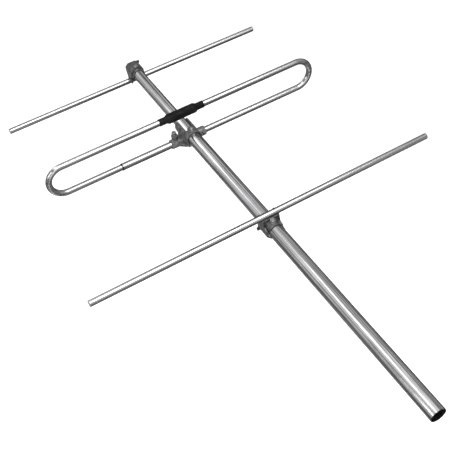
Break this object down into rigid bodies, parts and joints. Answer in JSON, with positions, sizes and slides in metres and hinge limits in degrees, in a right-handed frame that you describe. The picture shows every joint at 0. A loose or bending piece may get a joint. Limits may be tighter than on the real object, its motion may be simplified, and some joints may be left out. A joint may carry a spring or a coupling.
{
  "type": "yagi antenna",
  "caption": "End-mounted yagi antenna: director, folded dipole with a black feed sleeve, and reflector clamped across a two-part tube boom with a bare mast stub.",
  "frame": {"origin": "on the boom's axis, at the middle of the stub that a mast clamp grips", "axes": "+Y along the boom towards the director, X along the elements, +Z towards the sleeved leg of the loop"},
  "size_m": [0.8, 1.2105, 0.1127],
  "materials": {
    "boom_aluminium": "drawn tube with long polish streaks",
    "element_aluminium": "bright drawn tube",
    "dark_casting": "dark die casting",
    "grey_casting": "mid-grey die casting",
    "zinc_steel": "zinc plated",
    "nickel_plate": "nickel plated",
    "brass": "turned brass",
    "black_rubber": "moulded, with fine lengthwise ribs",
    "black_plastic": "moulded",
    "grey_plastic": "moulded",
    "white_insulator": "turned",
    "coax_jacket": "extruded"
  },
  "bodies": {
    "boom": {"rear_boom_tube": "boom_aluminium", "front_boom_tube": "boom_aluminium", "boom_front_plug": "black_plastic", "director_cradle": "dark_casting", "director_bolt": "zinc_steel", "reflector_cradle": "dark_casting", "reflector_bolt": "zinc_steel", "dipole_clamp_body": "grey_casting", "dipole_bolt": "zinc_steel", "loop_lock_screw": "zinc_steel", "loop_lock_nut": "zinc_steel", "socket_shell": "nickel_plate", "socket_insulator": "white_insulator", "socket_contact": "brass"},
    "folded_dipole": {"loop_left_half": "element_aluminium", "loop_right_half": "element_aluminium", "loop_joint_tube": "element_aluminium", "loop_joint_seal": "black_rubber", "feed_sleeve": "black_rubber", "feed_insulator": "white_insulator", "feed_screws": "brass", "feed_tags": "brass", "feed_coax": "coax_jacket"},
    "director_element": {"director_rod": "element_aluminium", "director_end_plugs": "grey_plastic"},
    "reflector_element": {"reflector_rod": "element_aluminium", "reflector_end_plugs": "grey_plastic"},
    "director_plate": {"director_clamp_plate": "dark_casting", "director_washer": "zinc_steel"},
    "reflector_plate": {"reflector_clamp_plate": "dark_casting", "reflector_washer": "zinc_steel"},
    "dipole_bridge": {"dipole_clamp_bridge": "grey_casting", "dipole_washer": "zinc_steel"},
    "director_nut": {"director_nut": "zinc_steel"},
    "reflector_nut": {"reflector_nut": "zinc_steel"},
    "dipole_nut": {"dipole_nut": "zinc_steel"}
  },
  "joints": [
    {"name": "director_plate_lift", "type": "slide", "parent": "boom", "child": "director_plate", "axis": [0, 0, -1], "range_m": [0, 0.003]},
    {"name": "director_plate_nut_turn", "type": "hinge", "parent": "director_plate", "child": "director_nut", "pos_m": [0, 1.028, 0], "axis": [0, 0, -1], "range_deg": [0, 1080]},
    {"name": "reflector_plate_lift", "type": "slide", "parent": "boom", "child": "reflector_plate", "axis": [0, 0, 1], "range_m": [0, 0.003]},
    {"name": "reflector_plate_nut_turn", "type": "hinge", "parent": "reflector_plate", "child": "reflector_nut", "pos_m": [0, 0.358, 0], "axis": [0, 0, 1], "range_deg": [0, 1080]},
    {"name": "dipole_bridge_lift", "type": "slide", "parent": "boom", "child": "dipole_bridge", "axis": [0, 0, 1], "range_m": [0, 0.003]},
    {"name": "dipole_bridge_nut_turn", "type": "hinge", "parent": "dipole_bridge", "child": "dipole_nut", "pos_m": [0, 0.716, 0], "axis": [0, 0, 1], "range_deg": [0, 1080]},
    {"name": "dipole_tilt", "type": "hinge", "parent": "boom", "child": "folded_dipole", "pos_m": [0, 0.75, -0.026], "axis": [1, 0, 0], "range_deg": [-40, 22]},
    {"name": "director_slide", "type": "slide", "parent": "boom", "child": "director_element", "axis": [1, 0, 0], "range_m": [-0.06, 0.06]},
    {"name": "reflector_slide", "type": "slide", "parent": "boom", "child": "reflector_element", "axis": [1, 0, 0], "range_m": [-0.06, 0.06]}
  ],
  "couplings": [
    {"joint": "director_plate_nut_turn", "follows": "director_plate_lift", "rad_per_m": 6283.2},
    {"joint": "reflector_plate_nut_turn", "follows": "reflector_plate_lift", "rad_per_m": 6283.2},
    {"joint": "dipole_bridge_nut_turn", "follows": "dipole_bridge_lift", "rad_per_m": 6283.2}
  ]
}
